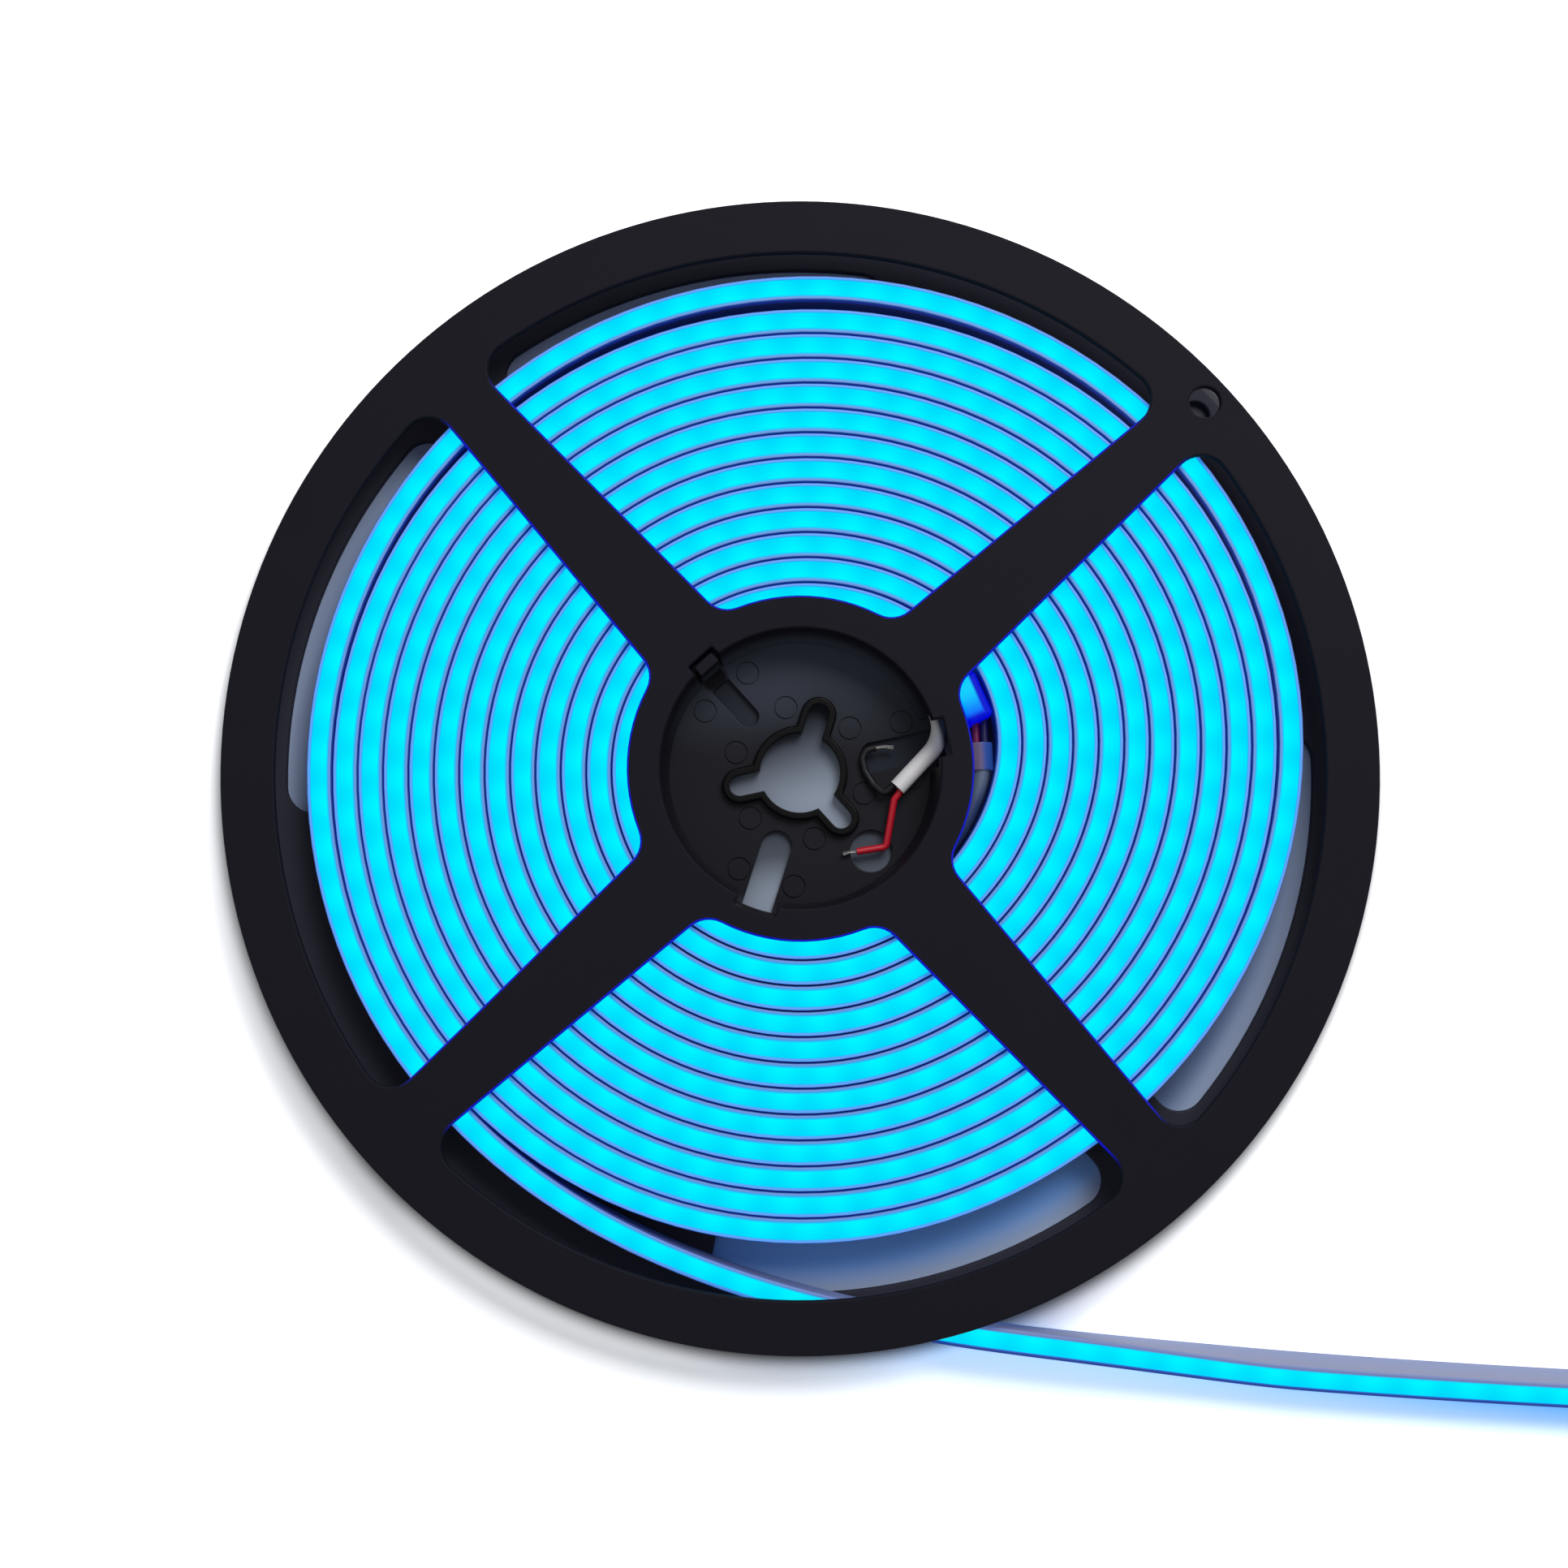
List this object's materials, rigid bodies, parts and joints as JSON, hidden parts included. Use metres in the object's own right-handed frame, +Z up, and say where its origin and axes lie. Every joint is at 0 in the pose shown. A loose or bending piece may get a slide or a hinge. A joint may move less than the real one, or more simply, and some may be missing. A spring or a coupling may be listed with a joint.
{
  "type": "neon flex strip on a reel",
  "caption": "Slim silicone neon flex light strip wound on edge on a flat black reel, its lit face up, its tail running out over the rim and its lead tucked into the hub.",
  "frame": {"origin": "on the surface that the reel lies on, under the middle of the whole part's box, tail included", "axes": "+Z up along the reel's axis, +X the way the tail runs out, the part lying flat as it does in use"},
  "size_m": [0.2564, 0.2106, 0.0126],
  "materials": {
    "reel_plastic": "moulded, finely grained, near black",
    "jacket_silicone": "white silicone, satin, tinted blue by its own light",
    "lit_silicone": "milky silicone lit from below in bright cyan",
    "tape_white": "white solder mask on a flexible circuit",
    "cap_silicone": "translucent silicone lit blue by the strip",
    "sheath_white": "smooth white flexible sheath, satin",
    "clear_sleeve": "clear shrink sleeve",
    "core_red": "red core insulation",
    "core_black": "black core insulation",
    "tinned_copper": "tinned copper strands, bright"
  },
  "bodies": {
    "root": {"reel_lower_half": "reel_plastic", "reel_upper_half": "reel_plastic", "silicone_jacket": "jacket_silicone", "led_tape": "tape_white", "light_diffuser": "lit_silicone", "inner_end_cap": "cap_silicone", "outer_end_cap": "jacket_silicone", "lead_sheath": "sheath_white", "shrink_sleeve": "clear_sleeve", "red_core_at_cap": "core_red", "black_core_at_cap": "core_black", "red_core_end": "core_red", "red_core_strands": "tinned_copper", "black_core_end": "core_black", "black_core_strands": "tinned_copper"}
  },
  "joints": []
}
